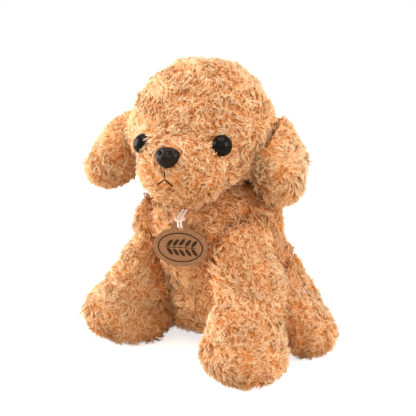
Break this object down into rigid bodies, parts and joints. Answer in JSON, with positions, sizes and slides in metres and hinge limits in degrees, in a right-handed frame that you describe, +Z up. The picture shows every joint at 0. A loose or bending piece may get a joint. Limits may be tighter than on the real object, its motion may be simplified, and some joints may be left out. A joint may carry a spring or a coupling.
{
  "type": "plush dog",
  "caption": "Sitting plush dog of curly golden-tan pile with a turning head, hanging ears, splayed legs, a short tail, button eyes and an oval hang tag on a cord.",
  "frame": {"origin": "middle of the foot print, on the surface that the dog sits on", "axes": "+Z up, -Y the way the dog faces, +X its left side"},
  "size_m": [0.1768, 0.1622, 0.2058],
  "materials": {
    "curly_plush": "short curly polyester pile, golden tan with paler tips",
    "polyester_fibrefill": "loose white fibre",
    "black_gloss_plastic": "polished black",
    "black_brown_plastic": "satin black-brown",
    "white_polythene": "moulded, unpolished",
    "dark_brown_thread": "twisted sewing thread",
    "brown_card": "smooth brown leather-board card",
    "pale_cotton_cord": "soft pale cotton cord"
  },
  "bodies": {
    "torso": {"torso_cover": "curly_plush", "torso_filling": "polyester_fibrefill"},
    "head": {"head_cover": "curly_plush", "head_filling": "polyester_fibrefill", "left_eye": "black_gloss_plastic", "left_eye_washer": "white_polythene", "right_eye": "black_gloss_plastic", "right_eye_washer": "white_polythene", "nose": "black_brown_plastic", "nose_washer": "white_polythene", "lip_thread": "dark_brown_thread", "mouth_thread": "dark_brown_thread"},
    "left_ear": {"left_ear": "curly_plush"},
    "right_ear": {"right_ear": "curly_plush"},
    "left_front_leg": {"left_front_leg_cover": "curly_plush", "left_front_leg_filling": "polyester_fibrefill"},
    "right_front_leg": {"right_front_leg_cover": "curly_plush", "right_front_leg_filling": "polyester_fibrefill"},
    "left_hind_leg": {"left_hind_leg_cover": "curly_plush", "left_hind_leg_filling": "polyester_fibrefill"},
    "right_hind_leg": {"right_hind_leg_cover": "curly_plush", "right_hind_leg_filling": "polyester_fibrefill"},
    "tail": {"tail_cover": "curly_plush", "tail_filling": "polyester_fibrefill"},
    "hang_tag": {"tag_card": "brown_card", "tag_cord": "pale_cotton_cord"}
  },
  "joints": [
    {"name": "head_turn", "type": "hinge", "parent": "torso", "child": "head", "pos_m": [0, -0.01156, 0.136], "axis": [0, 0, 1], "range_deg": [-22, 15], "stiffness_Nm_per_rad": 0.15},
    {"name": "left_ear_lift", "type": "hinge", "parent": "head", "child": "left_ear", "pos_m": [0.03506, -0.00356, 0.18076], "axis": [0.2924, -0.9563, 0], "range_deg": [0, 40], "stiffness_Nm_per_rad": 0.012},
    {"name": "right_ear_lift", "type": "hinge", "parent": "head", "child": "right_ear", "pos_m": [-0.03857, -0.02608, 0.17076], "axis": [-0.2924, 0.9563, 0], "range_deg": [0, 30], "stiffness_Nm_per_rad": 0.012},
    {"name": "left_front_leg_spread", "type": "hinge", "parent": "torso", "child": "left_front_leg", "pos_m": [0.02539, -0.02416, 0.113], "axis": [0, -1, 0], "range_deg": [0, 15], "stiffness_Nm_per_rad": 0.06},
    {"name": "right_front_leg_spread", "type": "hinge", "parent": "torso", "child": "right_front_leg", "pos_m": [-0.02539, -0.02416, 0.113], "axis": [0, 1, 0], "range_deg": [0, 15], "stiffness_Nm_per_rad": 0.06},
    {"name": "left_hind_leg_spread", "type": "hinge", "parent": "torso", "child": "left_hind_leg", "pos_m": [0.0294, 0.01804, 0.076], "axis": [0, -1, 0], "range_deg": [0, 20], "stiffness_Nm_per_rad": 0.06},
    {"name": "right_hind_leg_spread", "type": "hinge", "parent": "torso", "child": "right_hind_leg", "pos_m": [-0.0294, 0.01804, 0.076], "axis": [0, 1, 0], "range_deg": [0, 20], "stiffness_Nm_per_rad": 0.06},
    {"name": "tail_fold", "type": "hinge", "parent": "torso", "child": "tail", "pos_m": [0, 0.0531, 0.0588], "axis": [-1, 0, 0], "range_deg": [0, 35], "stiffness_Nm_per_rad": 0.02},
    {"name": "tag_swing", "type": "hinge", "parent": "torso", "child": "hang_tag", "pos_m": [0.00815, -0.04989, 0.11165], "axis": [-0.8829, -0.4695, 0], "range_deg": [0, 40]}
  ]
}
